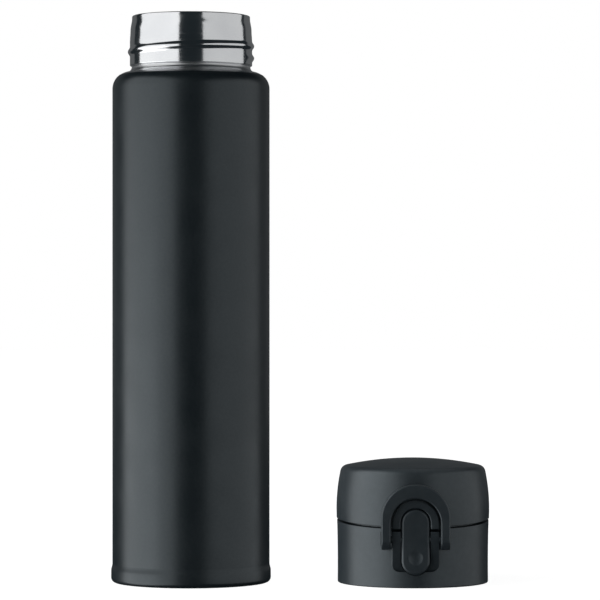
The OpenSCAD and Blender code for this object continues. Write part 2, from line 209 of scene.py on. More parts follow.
def solid(name, points, faces):
    """Mesh object in millimetres, with its faces turned outward."""
    mesh = bpy.data.meshes.new(name)
    mesh.from_pydata([tuple(p) for p in points], [], faces)
    work = bmesh.new()
    work.from_mesh(mesh)
    bmesh.ops.remove_doubles(work, verts=work.verts, dist=1e-4)
    bmesh.ops.recalc_face_normals(work, faces=work.faces)
    work.to_mesh(mesh)
    work.free()
    made = bpy.data.objects.new(name, mesh)
    bpy.context.scene.collection.objects.link(made)
    return made


def skin(name, loops, joined=False):
    """Solid through rings of points. The two end rings are capped, or joined to each other."""
    count = len(loops[0])
    points = [p for loop in loops for p in loop]
    faces = []
    for row in range(len(loops) - (0 if joined else 1)):
        here = row * count
        there = (row + 1) % len(loops) * count
        for i in range(count):
            j = (i + 1) % count
            faces.append((here + i, here + j, there + j, there + i))
    if not joined:
        faces.append(tuple(range(count)))
        faces.append(tuple(range(len(points) - count, len(points))))
    return solid(name, points, faces)


def lathe(name, profile, axis_x=0.0, segments=SEGMENTS):
    """Solid of revolution. profile is a closed outline of (radius, height), or gives one for an angle."""
    loops = []
    for i in range(segments):
        angle = 2 * pi * i / segments
        outline = profile(angle) if callable(profile) else profile
        loops.append([(axis_x + r * cos(angle), r * sin(angle), z) for r, z in outline])
    return skin(name, loops, joined=True)


def slab_loops(outline, near, far, edge_r, place, steps=4):
    """Rings of a plate between near and far whose edges are rounded; place turns (u, v, w) into a point."""
    outline = anticlockwise(outline)
    support = 0.04
    turns = [pi / 2 * i / steps for i in range(steps + 1)]
    rise = [(edge_r * (1 - sin(a)), near + edge_r * (1 - cos(a))) for a in turns]
    fall = [(edge_r * (1 - sin(a)), far - edge_r * (1 - cos(a))) for a in reversed(turns)]
    rings = [(edge_r + support, near), *rise, *fall, (edge_r + support, far)]
    return [[place(p.x, p.y, w) for p in inset(outline, d)] for d, w in rings]


def on_front(u, v, w):
    """Outline in X and Z on the lid's axis, with its third measure as depth."""
    return (lid_x + u, -w, v)


def on_side(u, v, w):
    """Outline in depth and Z on the lid's axis, with its third measure along X."""
    return (lid_x + w, -u, v)


def slab(name, outline, near, far, edge_r, place):
    """Plate between near and far with rounded edges."""
    return skin(name, slab_loops(outline, near, far, edge_r, place))


def bar_x(name, x0, x1, depth, z, radius, edge_r=0.15, steps=48):
    """Round bar along X between two places beside the lid's axis, with rounded ends."""
    return slab(name, arc(depth, z, radius, 0, 360 - 360 / steps, steps - 1), x0, x1, edge_r, on_side)


def wire(name, path, radius, sides=12):
    """Round wire along a list of points."""
    loops = []
    side = None
    for i, here in enumerate(path):
        along = (path[min(i + 1, len(path) - 1)] - path[max(i - 1, 0)]).normalized()
        side = (along.orthogonal() if side is None else side - along * side.dot(along)).normalized()
        up = along.cross(side)
        turns = [2 * pi * s / sides for s in range(sides)]
        loops.append([here + radius * (cos(a) * side + sin(a) * up) for a in turns])
    return skin(name, loops)


def section(inner, outer, back, front, edge_r, shrink=0.0, tilt=0.0):
    """Ring round a bar that lies in the front's plane: inner and outer are the (x, z) of its two sides."""
    inner = Vector(inner)
    outer = Vector(outer)
    width = (outer - inner).length
    ring = []
    low = back + shrink
    high = front - shrink
    corners = [(shrink, low), (width - shrink, low), (width - shrink, high), (shrink, high)]
    for u, depth in rounded([(u, v, edge_r) for u, v in corners], 4):
        place = inner.lerp(outer, u / width)
        ring.append((lid_x + place.x, -depth, place.y - tilt * (depth - front)))
    return ring


def end_rounding(radius, steps=4):
    """(shrink, distance from the end) of the sections that round the end of a bar."""
    turns = [pi / 2 * i / steps for i in range(steps + 1)]
    return [(radius * (1 - sin(a)), radius * (1 - cos(a))) for a in turns]


def u_bar(name, inner, outer, bottom, back, front, edge_r, tilt=0.0):
    """Upside-down U: inner and outer are (half width, top), and front gives the depth at a height."""
    inner_w, inner_top = inner
    outer_w, outer_top = outer
    inner_z = inner_top - inner_w
    outer_z = outer_top - outer_w
    end_r = edge_r * 0.8
    spring_z = min(inner_z, outer_z)
    heights = [(shrink, bottom + rise) for shrink, rise in end_rounding(end_r)]
    run = spring_z - bottom - end_r
    heights += [(0, bottom + end_r + run * i / 10) for i in range(1, 11)]
    leg = []
    for shrink, z in heights:
        lean = tilt * (spring_z - z) / (spring_z - bottom)
        leg.append([(inner_w, z), (outer_w, z), front(z), shrink, lean])
    turns = [radians(180 * i / 64) for i in range(1, 64)]
    bend = []
    for a in turns:
        inner_p = (inner_w * cos(a), inner_z + inner_w * sin(a))
        outer_p = (outer_w * cos(a), outer_z + outer_w * sin(a))
        bend.append([inner_p, outer_p, front(outer_p[1]), 0, 0])
    mirrored = [[(-p[0], p[1]), (-q[0], q[1]), *rest] for p, q, *rest in reversed(leg)]
    loops = []
    for inner_p, outer_p, depth, shrink, lean in leg + bend + mirrored:
        loops.append(section(inner_p, outer_p, back, depth, edge_r, shrink, lean))
    return skin(name, loops)


def volume(mesh):
    """Space that a closed mesh encloses."""
    work = bmesh.new()
    work.from_mesh(mesh)
    enclosed = work.calc_volume()
    work.free()
    return enclosed


def combine(base, others, operation):
    """Adds the other solids to base ("UNION") or cuts them out of it ("DIFFERENCE"), and removes them.

    A join or a cut that goes wrong changes the volume the wrong way, which stops the script.
    """
    for other in others:
        step = base.modifiers.new("combine", "BOOLEAN")
        step.operation = operation
        step.solver = "EXACT"
        step.object = other
    graph = bpy.context.evaluated_depsgraph_get()
    mesh = bpy.data.meshes.new_from_object(base.evaluated_get(graph))
    before = volume(base.data)
    after = volume(mesh)
    if after < 0.5 * before or (after > before) != (operation == "UNION"):
        raise ValueError(f"{base.name}: {operation} took its volume from {before:.1f} to {after:.1f}")
    base.modifiers.clear()
    base.data = mesh
    for other in others:
        bpy.data.objects.remove(other)


riders = []


def finish_piece(piece, body, node, slot, *materials, sharp=32.0, flatten=False, twists_to=None):
    """Turns a solid into a piece of the object, in metres, that rides on body and replaces a CAD node.

    With twists_to set, the piece does not ride on body: its place is baked into its mesh, and the second
    body and points that twists_to holds are not used. riders keeps each piece with its body for the lights.
    """
    mesh = piece.data
    mesh.transform(Matrix.Scale(MM, 4))
    mesh.polygons.foreach_set("use_smooth", [True] * len(mesh.polygons))
    mesh.set_sharp_from_angle(angle=radians(sharp))
    mesh.materials.clear()
    for material in materials:
        mesh.materials.append(material)
    if flatten:
        normals = piece.modifiers.new("even shading", "WEIGHTED_NORMAL")
        normals.keep_sharp = True
        normals.weight = 60
    if twists_to:
        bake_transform(piece)
    else:
        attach(piece, body)
    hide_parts(node)
    riders.append((piece, body))


# ---------------- materials


class Nodes:
    """A material's node tree, with short ways to add to it."""

    def __init__(self, name, colour, roughness, metallic=0.0):
        self.material = bpy.data.materials.new(name)
        self.material.use_nodes = True
        self.tree = self.material.node_tree
        self.shader = next(n for n in self.tree.nodes if n.type == "BSDF_PRINCIPLED")
        self.shader.inputs["Base Color"].default_value = (*colour, 1)
        self.shader.inputs["Roughness"].default_value = roughness
        self.shader.inputs["Metallic"].default_value = metallic
        self.place = self.tree.nodes.new("ShaderNodeTexCoord").outputs["Object"]

    def link(self, source, target):
        self.tree.links.new(source, target)

    def node(self, kind, inputs, operation=None):
        """A new node whose inputs are set to values or linked to other nodes' outputs."""
        node = self.tree.nodes.new("ShaderNode" + kind)
        if operation:
            node.operation = operation
        for name, value in inputs.items():
            if isinstance(value, bpy.types.NodeSocket):
                self.link(value, node.inputs[name])
            else:
                node.inputs[name].default_value = value
        return node

    def stretched(self, scale):
        """The object's coordinates, multiplied by scale along each axis."""
        return self.node("VectorMath", {0: self.place, 1: scale}, "MULTIPLY").outputs[0]

    def noise(self, scale, detail=2.0, vector=None):
        """Soft noise with features of about 1 / scale metres."""
        inputs = {"Scale": scale, "Detail": detail, "Vector": vector or self.place}
        return self.node("TexNoise", inputs).outputs["Fac"]

    def cells(self, scale):
        """Distance to the nearest of many scattered points."""
        return self.node("TexVoronoi", {"Scale": scale, "Vector": self.place}).outputs["Distance"]

    def reach(self):
        """Distance from the object's origin."""
        return self.node("VectorMath", {0: self.place}, "LENGTH").outputs["Value"]

    def product(self, first, second):
        """Two values multiplied."""
        return self.node("Math", {0: first, 1: second}, "MULTIPLY").outputs[0]

    def spread(self, value, low, high, source=(0.35, 0.65)):
        """value mapped from the source range to low..high."""
        first, last = source
        inputs = {"Value": value, "From Min": first, "From Max": last, "To Min": low, "To Max": high}
        return self.node("MapRange", inputs).outputs["Result"]

    def colours(self, value, dark, light):
        """Base colour between dark and light, by a value from 0 to 1."""
        node = self.tree.nodes.new("ShaderNodeMix")
        node.data_type = "RGBA"
        node.inputs["A"].default_value = (*dark, 1)
        node.inputs["B"].default_value = (*light, 1)
        self.link(value, node.inputs["Factor"])
        self.link(node.outputs["Result"], self.shader.inputs["Base Color"])

    def mottle(self, scale, detail, dark, light):
        """Base colour that drifts between dark and light with a noise."""
        self.colours(self.spread(self.noise(scale, detail), 0, 1), dark, light)

    def roughness(self, value, low, high):
        """Roughness between low and high, by a noise or another pattern."""
        self.link(self.spread(value, low, high), self.shader.inputs["Roughness"])

    def cool_sheen(self, level=0.5):
        """Bluish reflection of the given strength."""
        self.shader.inputs["Specular IOR Level"].default_value = level
        self.shader.inputs["Specular Tint"].default_value = (0.85, 0.95, 1.0, 1)

    def bump(self, height, distance, below=None):
        """Relief of the given depth in metres, on top of the relief below it."""
        inputs = {"Distance": distance, "Height": height}
        if below:
            inputs["Normal"] = below
        normal = self.node("Bump", inputs).outputs["Normal"]
        self.link(normal, self.shader.inputs["Normal"])
        return normal


def powder_coat():
    """Fine-grained black powder coat with a soft sheen."""
    coat = Nodes("powder_coat", (0.007, 0.011, 0.0135), 0.34)
    coat.cool_sheen(0.72)
    coat.mottle(900, 3, (0.005, 0.009, 0.0115), (0.009, 0.013, 0.0155))
    coat.roughness(coat.noise(70, 3), 0.31, 0.37)
    orange_peel = coat.bump(coat.noise(650, 2), 0.000012)
    coat.bump(coat.noise(3200, 3), 0.00001, orange_peel)
    return coat.material


def polished_steel():
    """Stainless steel polished on a lathe, which leaves faint rings round its axis."""
    steel = Nodes("polished_steel", (0.74, 0.75, 0.76), 0.12, 1.0)
    rings = steel.noise(1, 2, steel.stretched((20, 20, 5200)))
    steel.mottle(55, 3, (0.7, 0.71, 0.725), (0.77, 0.78, 0.79))
    steel.roughness(rings, 0.09, 0.16)
    steel.bump(rings, 0.0000015)
    return steel.material


def brushed_steel():
    """Satin steel of the vessel's inside, electropolished after drawing."""
    steel = Nodes("satin_steel", (0.6, 0.61, 0.62), 0.3, 1.0)
    rings = steel.noise(1, 3, steel.stretched((30, 30, 3000)))
    steel.mottle(40, 3, (0.54, 0.55, 0.56), (0.64, 0.65, 0.66))
    steel.roughness(rings, 0.24, 0.38)
    steel.bump(rings, 0.000003)
    return steel.material


def lid_plastic():
    """Moulded plastic with a fine spark-eroded grain."""
    plastic = Nodes("lid_plastic", (0.019, 0.025, 0.03), 0.38)
    plastic.cool_sheen(0.72)
    plastic.mottle(500, 3, (0.017, 0.023, 0.0275), (0.022, 0.0285, 0.033))
    plastic.roughness(plastic.noise(90, 3), 0.35, 0.41)
    grain = plastic.bump(plastic.cells(2400), 0.000012)
    plastic.bump(plastic.noise(5200, 2), 0.000008, grain)
    return plastic.material


def liner_plastic():
    """Smooth dark polypropylene of the parts that meet the drink."""
    plastic = Nodes("liner_plastic", (0.044, 0.052, 0.058), 0.34)
    plastic.cool_sheen()
    plastic.mottle(300, 2, (0.04, 0.048, 0.054), (0.048, 0.056, 0.062))
    plastic.roughness(plastic.noise(60, 3), 0.28, 0.38)
    plastic.bump(plastic.noise(1800, 2), 0.000006)
    return plastic.material


def silicone():
    """Slightly see-through grey silicone with a dry, dusty skin."""
    rubber = Nodes("silicone", (0.5, 0.51, 0.51), 0.5)
    rubber.shader.inputs["Subsurface Weight"].default_value = 0.35
    rubber.shader.inputs["Subsurface Scale"].default_value = 0.002
    rubber.mottle(400, 3, (0.44, 0.45, 0.45), (0.54, 0.55, 0.55))
    rubber.roughness(rubber.noise(120, 3), 0.42, 0.58)
    rubber.bump(rubber.noise(2600, 2), 0.000008)
    return rubber.material


def foil():
    """Bright foil, crinkled from being wrapped by hand, with painted shade in the crease hollows and a
    painted highlight on the ridges.
    """
    sheet = Nodes("foil", (0.86, 0.86, 0.87), 0.2, 1.0)
    crease_relief_and_shade = sheet.noise(110, 6)
    # Base colour follows the crease relief: painted shade in the hollows, painted highlight on the ridges.
    sheet.colours(sheet.spread(crease_relief_and_shade, 0, 1), (0.78, 0.78, 0.8), (0.9, 0.9, 0.91))
    sheet.roughness(sheet.noise(300, 2), 0.14, 0.3)
    sheet.bump(crease_relief_and_shade, 0.0006)
    return sheet.material


def spring_steel():
    """Drawn spring wire with fine die lines."""
    drawn = Nodes("spring_steel", (0.5, 0.51, 0.52), 0.28, 1.0)
    drawn.mottle(800, 2, (0.44, 0.45, 0.46), (0.56, 0.57, 0.58))
    drawn.roughness(drawn.noise(1500, 3), 0.22, 0.36)
    drawn.bump(drawn.noise(5000, 2), 0.000004)
    return drawn.material


def seal_glass():
    """Dark sealing glass, melted into its hollow."""
    glass = Nodes("seal_glass", (0.12, 0.1, 0.08), 0.12)
    glass.mottle(600, 3, (0.09, 0.075, 0.06), (0.16, 0.14, 0.11))
    glass.roughness(glass.noise(300, 2), 0.08, 0.2)
    glass.bump(glass.noise(900, 2), 0.00004)
    return glass.material


def getter_metal():
    """Dull sintered powder metal, with painted shade in the pits of its grain."""
    tablet = Nodes("getter_metal", (0.26, 0.26, 0.28), 0.7, 1.0)
    # Base colour follows the grain's relief: painted shade in the pits, lighter on the tops.
    tablet.colours(tablet.spread(tablet.cells(2500), 0, 1, (0, 0.6)), (0.2, 0.2, 0.22), (0.32, 0.32, 0.34))
    tablet.roughness(tablet.noise(900, 3), 0.6, 0.8)
    tablet.bump(tablet.cells(2500), 0.00005)
    return tablet.material


# ---------------- bottle

neck_r = 25.3
thread_rise = 0.85
thread_half_w = 2.05
thread_lead = 5
shoulder_r = 7
shoulder_z = bottle_h - 23.1
coat_end_angle = 53
groove_z = shoulder_z + 2.1
groove_dip = 0.75


def ease(t):
    """Smooth step from 0 to 1."""
    t = min(max(t, 0), 1)
    return t * t * (3 - 2 * t)


def thread_height(angle, z, start_z, first, last, fade=28):
    """Share of a rolled thread's full height at an angle and a height; first and last are its ends."""
    best = 0.0
    for turn in range(-1, 4):
        along = degrees(angle) + 360 * turn
        across = (z - start_z - thread_lead * along / 360) / thread_half_w
        if abs(across) < 1 and first - fade < along < last + fade:
            ends = ease((along - first) / fade + 0.5) * ease((last - along) / fade + 0.5)
            best = max(best, ends * (0.5 + 0.5 * cos(pi * across)))
    return best


def neck_outline():
    """Outside of the neck from the groove over the shoulder up to the rounded lip, drawn in near the top."""
    outline = []
    rows = 140
    first_z = groove_z + 0.05
    last_z = bottle_h - 0.5
    for i in range(rows + 1):
        z = first_z + (last_z - first_z) * i / rows
        drawn_in = 0.25 * ease((z - bottle_h + 11) / 5) + 0.65 * ease((z - bottle_h + 6) / 5)
        drawn_in += groove_dip * (1 - ease((z - groove_z) / 0.6))
        outline.append(Vector((neck_r - drawn_in, z)))
    return outline + arc(neck_r - 1.4, last_z, 0.5, 15, 90, 6)


def outer_shell(coat, polished, satin):
    """Coated tube that is drawn in over a rounded shoulder to the bare threaded neck, satin at its root."""
    wall = 0.8
    seat_r = body_r - 0.7
    seam_z = foot_h + 0.06
    coat_step = 0.1
    axis_r = body_r - shoulder_r
    axis_z = shoulder_z - shoulder_r
    coated = rounded([(seat_r, shell_low.z, 0), (seat_r, seam_z, 0), (body_r, seam_z, 0.08)])
    coated += between(coated[-1], Vector((body_r, foot_h + 1)), 0.4)
    coated += between(coated[-1], Vector((body_r, axis_z)), 9)[:-1]
    coated += arc(axis_r, axis_z, shoulder_r, 0, coat_end_angle, 16)
    coated += arc(axis_r, axis_z, shoulder_r - coat_step, coat_end_angle + 0.6, coat_end_angle + 0.6, 1)[:1]
    bare = arc(axis_r, axis_z, shoulder_r - coat_step, coat_end_angle + 2, 80, 9)
    bare += arc(neck_r - groove_dip + 2.3, groove_z, 2.3, 265, 180, 12)
    plain = len(coated) + len(bare)
    bare += neck_outline()
    inside = straight((neck_r - 1.4, bottle_h - 1), (neck_r - 1.4, bottle_h - 2.2))
    inside += straight((neck_r - 1.4, bottle_h - 5), (neck_r - 1.0, shoulder_z + 4.5))
    inside += straight((neck_r - 1.35, shoulder_z + 3), (neck_r - 1.35, shoulder_z + 0.6))
    inside += arc(axis_r, axis_z, shoulder_r - wall, 75, 0, 12)
    inside += straight((body_r - wall, foot_h + 0.4), (seat_r - wall, foot_h), (seat_r - wall, shell_low.z))
    profile = coated + bare + inside
    threaded = range(plain, len(coated) + len(bare))

    def threaded_profile(angle):
        rows = [Vector(p) for p in profile]
        for i in threaded:
            share = thread_height(angle, rows[i].y, bottle_h - 17.4, -14, 395)
            rows[i].x += thread_rise * share
        return rows

    piece = lathe("flask_shell", threaded_profile)
    coat_top = axis_z + (shoulder_r - coat_step / 2) * sin(radians(coat_end_angle + 0.3))
    finish_piece(piece, "bottle", "outer_shell", "powder_coat", coat, polished, satin, sharp=50)
    for face in piece.data.polygons:
        if face.center.z > groove_z * MM:
            face.material_index = 1
        elif face.center.z > coat_top * MM:
            face.material_index = 2


def liner_vessel(steel):
    """Steel liner: rolled mouth, gasket ledge, throat and straight wall."""
    mouth_r = 23.35
    wall = 0.5
    throat_r = 21.7
    ledge_z = bottle_h - 18
    vessel_r = 29.3
    bottom_z = 11.4
    arc_r = 6
    axis_r = vessel_r - arc_r
    axis_z = 202.6
    outer_throat = throat_r + wall
    fillet = axis_r - outer_throat
    profile = straight((vessel_r, bottom_z))
    profile += arc(axis_r, axis_z, arc_r, 0, 90, 12)
    profile += arc(axis_r, axis_z + arc_r + fillet, fillet, 270, 180, 5)
    profile += straight((outer_throat, ledge_z - 1.2), (mouth_r + wall, ledge_z))
    profile += arc(mouth_r + wall - 0.02, bottle_h - 0.48, 0.48, 90, 180, 6)
    profile += straight((mouth_r, ledge_z - 0.1), (mouth_r - 0.3, ledge_z - 0.4))
    profile += straight((throat_r + 0.4, ledge_z - 1.1), (throat_r, ledge_z - 1.6))
    profile += arc(axis_r, axis_z + arc_r + fillet, fillet + wall, 180, 270, 6)
    profile += arc(axis_r, axis_z, arc_r - wall, 90, 0, 12)
    profile += straight((vessel_r - wall, bottom_z))
    piece = lathe("liner_vessel", profile)
    finish_piece(piece, "bottle", "inner_vessel", "steel", steel)


def liner_bottom(steel):
    """Pressed cap at the bottom of the liner, with a shallow ring bead that stiffens it."""
    low, high = cad("inner_bottom")
    rim_r = high.x
    wall = 0.6
    under = [(0, low.z, 0), (14, low.z, 1.2), (15.2, low.z + 0.5, 0.8), (17, low.z + 0.5, 0.8)]
    under += [(18.2, low.z, 1.2), (rim_r, low.z, 3.4)]
    over = [(rim_r, high.z, 0.2), (rim_r - wall, high.z, 0.2), (rim_r - wall, low.z + wall, 2.8)]
    over += [(18.2, low.z + wall, 1.2), (17, low.z + wall + 0.5, 0.8), (15.2, low.z + wall + 0.5, 0.8)]
    over += [(14, low.z + wall, 1.2), (0, low.z + wall, 0)]
    piece = lathe("liner_bottom", rounded(under + over, 4), segments=96)
    finish_piece(piece, "bottle", "inner_bottom", "steel", steel)


def foil_wrap(metal):
    """Foil round the liner, with soft wrinkles and an overlap seam."""
    low, high = cad("radiation_foil")
    inner_r = high.x - 0.25
    rows = 60

    def profile(angle):
        outside = []
        for i in range(rows + 1):
            z = low.z + (high.z - low.z) * i / rows
            wrinkle = 0.05 * sin(5 * angle + z * 0.31) * sin(9 * angle - z * 0.17)
            seam = 0.07 * ease(1 - abs(angle - pi) * inner_r / 3)
            outside.append(Vector((inner_r + 0.13 + wrinkle + seam, z)))
        return outside + straight((inner_r, high.z), (inner_r, low.z))

    piece = lathe("foil_wrap", profile, segments=144)
    finish_piece(piece, "bottle", "radiation_foil", "foil", metal)


def shell_bottom(steel):
    """Pressed cap in the shell's bottom, with the hollow and the hole that the vacuum is drawn through."""
    low, high = cad("outer_bottom")
    rim_r = high.x
    hollow_r = 4.6
    hole_r = 0.6
    floor_z = 4.2
    wall = 0.8
    corners = [(hole_r, floor_z + 1, 0.15), (hollow_r, floor_z + 1, 0.4), (hollow_r + 1, floor_z, 0.5)]
    corners += [(rim_r - 2, floor_z, 0.6), (rim_r - 1, low.z, 0.3), (rim_r, low.z, 0.2)]
    corners += [(rim_r, floor_z + wall + 0.4, 0.2), (rim_r - 1.6, floor_z + wall, 0.6)]
    corners += [(hollow_r + 1.4, floor_z + wall, 0.5), (hollow_r + 0.4, floor_z + wall + 1, 0.4)]
    corners += [(hole_r, floor_z + wall + 1, 0.15)]
    piece = lathe("shell_bottom", rounded(corners, 4), segments=96)
    finish_piece(piece, "bottle", "outer_bottom", "steel", steel)


def glass_seal(glass):
    """Bead of sealing glass with a rounded, slightly sunk face."""
    low, high = cad("vacuum_seal")
    edge_r = high.x
    corners = [(0, low.z + 0.25, 0), (edge_r - 1.6, low.z + 0.1, 0.5), (edge_r - 0.9, low.z, 0.3)]
    corners += [(edge_r, high.z, 0.15), (0, high.z, 0)]
    piece = lathe("glass_seal", rounded(corners, 4), segments=64)
    finish_piece(piece, "bottle", "vacuum_seal", "seal_glass", glass)


def getter_tablet(metal):
    """Gas-absorbing tablet in its shallow pressed ring."""
    low, high = cad("getter")
    axis = (low.x + high.x) / 2
    edge_r = high.x - axis
    corners = [(0, low.z, 0), (edge_r, low.z, 0.3), (edge_r, high.z, 0.3), (edge_r - 1.1, high.z, 0.25)]
    corners += [(edge_r - 1.2, high.z - 0.6, 0.2), (0, high.z - 0.6, 0)]
    piece = lathe("getter_tablet", rounded(corners, 4), axis, segments=64)
    finish_piece(piece, "bottle", "getter", "getter_metal", metal)


def foot_band(coat):
    """Shallow cup over the bottom of the shell, with a rounded edge and a ring groove underneath."""
    groove_r = 23
    groove_w = 1.6
    groove_depth = 0.8
    slope_h = 3.2
    seat_r = body_r - 0.6
    floor_top = 2.35
    corners = [(0, 0, 0), (groove_r, 0, 0.2), (groove_r + 0.3, groove_depth, 0.2)]
    corners += [(groove_r + groove_w - 0.3, groove_depth, 0.2), (groove_r + groove_w, 0, 0.2)]
    corners += [(foot_r, 0, 2)]
    for share in (0.25, 0.4, 0.55, 0.7, 0.85):
        drawn_in = (foot_r - body_r) * ease((share - 0.1) / 0.9)
        corners.append((foot_r - drawn_in, foot_h - slope_h * (1 - share), 0))
    corners += [(body_r, foot_h, 0.08), (seat_r + 0.2, foot_h, 0.08)]
    corners += [(seat_r, foot_h - 0.6, 0.1), (seat_r, floor_top, 0.2), (0, floor_top, 0)]
    piece = lathe("foot_band", rounded(corners, 6))
    finish_piece(piece, "bottle", "foot_cup", "powder_coat", coat)


# ---------------- lid unit


def split_at(y, side):
    """Height of the parting line's upper (side 1) or lower (side -1) edge."""
    return split_z + side * split_half_gap + y * split_slope


def rail_front(z):
    """Depth of the rails beside the button: proud of the wall at the top, sunk into it at the bottom."""
    top_z = 21.5
    curve_h = 14.9
    sink = 3.75
    return arch_front - sink * (1 - cos(min(max((top_z - z) / curve_h, 0), 1) * pi / 2)) ** 0.8


def rails():
    """Block of both rails up to the parting line, before the button's opening is cut out of it."""
    corner_x = arch_half_w - rail_corner_r
    foot_z = rail_foot_z - 0.05
    top = split_at(-arch_front, -1) - latch_drop
    back = pocket_depth - 0.4
    edge_r = 0.5
    end_r = 0.3
    count = 48
    rings = []
    for i in range(count + 1):
        z = foot_z + (top - end_r - foot_z) * (i / count) ** 1.3
        low = max(foot_z + rail_corner_r - z, 0)
        rings.append((corner_x + sqrt(rail_corner_r**2 - low**2), z, 0))
    rings += [(arch_half_w, top - rise, shrink) for shrink, rise in reversed(end_rounding(end_r)[:-1])]
    loops = []
    for half_w, z, shrink in rings:
        tilt = split_slope * (z - foot_z) / (top - foot_z)
        loops.append(section((-half_w, z), (half_w, z), back, rail_front(z), edge_r, shrink, tilt))
    return skin("rails", loops)


def rail_outline(half_w):
    """Outline of the hollow that holds the rails and the button, open at the top."""
    feet = [(-half_w, rail_foot_z, rail_corner_r), (half_w, rail_foot_z, rail_corner_r)]
    return rounded([*feet, (half_w, 45, 0), (-half_w, 45, 0)], 12)


def hinge_head(start, end):
    """Round head about the hinge pin, as corners of an outline, with its angles in degrees."""
    return [(p.x, p.y, 0) for p in arc(hinge_depth, hinge_z, head_r, start, end, 30)]


def hinge_hole():
    """Hole for the hinge pin."""
    return bar_x("hinge hole", -past_side, past_side, hinge_depth, hinge_z, hinge_pin_r + pin_play, 0)


def hinge_lug(x0, x1):
    """Lug of the rear hinge on the lid base: a foot that swells out of the wall, with a rounded head."""
    foot_z = 12.5
    inner = 3.5 - lid_r
    corners = [(inner, foot_z, 0), (0.9 - lid_r, foot_z, 2.5), (hinge_depth - 2.75, hinge_z - 3.4, 3.5)]
    corners += [*hinge_head(180, -48), (inner, split_z + 1.2, 0)]
    return slab("lug", rounded(corners), x0, x1, 0.35, on_side)


def collar_r(z):
    """Radius of the collar's slightly waisted side."""
    return lid_r - 0.45 + 0.0009 * (z - 7.5) ** 2


def lid_collar():
    """Threaded collar with its deck and the plug, before the button's hollow is cut."""
    socket_r = 27
    thread_depth = 1.1
    deck_r = 28.6
    deck_z = 24
    deck_top = 26
    plug_r = 22
    bore_r = 20.4
    plug_low = 5.5
    thread_rows = [deck_z - 1 - 0.35 * i for i in range(58)]

    def profile(angle):
        top = split_at(lid_r * sin(angle), -1)
        step = min(0.3, abs(top - deck_top) * 0.4)
        corners = [(lid_r - 1.5, 0, 0.2), (collar_r(0), 0, 0.6)]
        corners += [(collar_r(z), z, 0) for z in (2, 5, 8, 11, 14, 17, 20, 22)]
        corners += [(collar_r(top), top, 0.2), (deck_r, top, step)]
        corners += [(deck_r, deck_top, step), (bore_r, deck_top, 0.3), (bore_r, plug_low, 0.2)]
        corners += [(plug_r + 0.7, plug_low, 0.2), (plug_r + 0.7, plug_low + 1, 0.2)]
        corners += [(plug_r, plug_low + 1, 0.2), (plug_r, deck_z, 0.6), (socket_r, deck_z, 0.6)]
        for z in thread_rows:
            corners.append((socket_r - thread_depth * thread_height(angle, z, 7.2, 205, 640), z, 0))
        corners += [(socket_r, 2.2, 0.2), (socket_r + 1.5, 2.2, 0.2)]
        return rounded(corners, 4)

    return lathe("lid_collar", profile, lid_x)


def both_sides(name, inner_x, outer_x, radius, edge_r, steps=48):
    """Round bars about the pivot, on the left and on the right of the button."""
    bars = []
    for x0, x1 in ((-outer_x, -inner_x), (inner_x, outer_x)):
        bars.append(bar_x(name, x0, x1, pivot_depth, pivot_z, radius, edge_r, steps))
    return bars


def lid_base(plastic):
    """Collar with the button's hollow, the rails, the reliefs for the ring's legs and the hinge lugs."""
    collar = lid_collar()
    hollow = slab("hollow", rail_outline(arch_half_w - 0.1), pocket_depth, past_wall, 0.0, on_front)
    combine(collar, [hollow], "DIFFERENCE")
    lugs = [hinge_lug(-hinge_half_w, -lug_x), hinge_lug(lug_x, hinge_half_w)]
    combine(collar, [rails(), *lugs], "UNION")
    button_outline = oval(opening_half_w, opening_bottom, 60)
    opening = slab("opening", button_outline, pocket_depth, past_wall, 0.0, on_front)
    reliefs = both_sides("relief", arch_half_w - 0.04, ring_high.x - lid_x + 0.12, 4.6, 0.3, 96)
    combine(collar, [opening, *reliefs], "DIFFERENCE")
    combine(collar, both_sides("boss", arch_half_w - 0.3, arch_half_w + 0.38, 1.5, 0.05), "UNION")
    cuts = [bar_x("pivot hole", -13.5, 13.5, pivot_depth, pivot_z, pivot_pin_r + pin_play, 0)]
    cuts.append(hinge_hole())
    cuts.append(slab("spring seat", arc(0, dimple_z, spring_seat_r, 0, 350, 35), 28, 35, 0, on_front))
    combine(collar, cuts, "DIFFERENCE")
    finish_piece(collar, "lid", "lid_base", "lid_plastic", plastic, flatten=True)


def mouthpiece(plastic):
    """Drinking spout with a rolled lip, pushed into the plug."""
    bore_r = 17.6
    spout_r = 19.5
    low = spout_low.z
    top = spout_high.z
    seat_r = 20.35
    flange_r = spout_high.x - lid_x
    flange_z = 26.05
    corners = [(bore_r, low, 0.4), (seat_r, low, 0.3), (seat_r, flange_z, 0), (flange_r, flange_z, 0.15)]
    corners += [(flange_r, flange_z + 1.35, 0.5), (spout_r, flange_z + 1.6, 0.8)]
    corners += [(spout_r, top, 0.94), (bore_r, top, 0.94)]
    piece = lathe("mouthpiece", rounded(corners, 6), lid_x)
    finish_piece(piece, "lid", "spout", "liner_plastic", plastic)


def plug_gasket(rubber):
    """Silicone ring on the plug, with two soft lips."""
    low, high = cad("bottle_gasket")
    inner_r = 22.05
    lip_r = high.x - lid_x
    corners = [(inner_r, low.z, 0.2), (lip_r - 0.35, low.z, 0.25), (lip_r, low.z + 0.5, 0.25)]
    corners += [(lip_r - 0.5, low.z + 1.4, 0.35), (lip_r, high.z - 0.8, 0.25), (lip_r - 0.4, high.z, 0.25)]
    corners += [(inner_r, high.z, 0.2)]
    piece = lathe("plug_gasket", rounded(corners, 4), lid_x)
    finish_piece(piece, "lid", "bottle_gasket", "silicone", rubber)


def barrel(z):
    """Radius of the cover's slightly barrelled side."""
    return lid_r + 0.1 - side_curve * (z - 30.5) ** 2


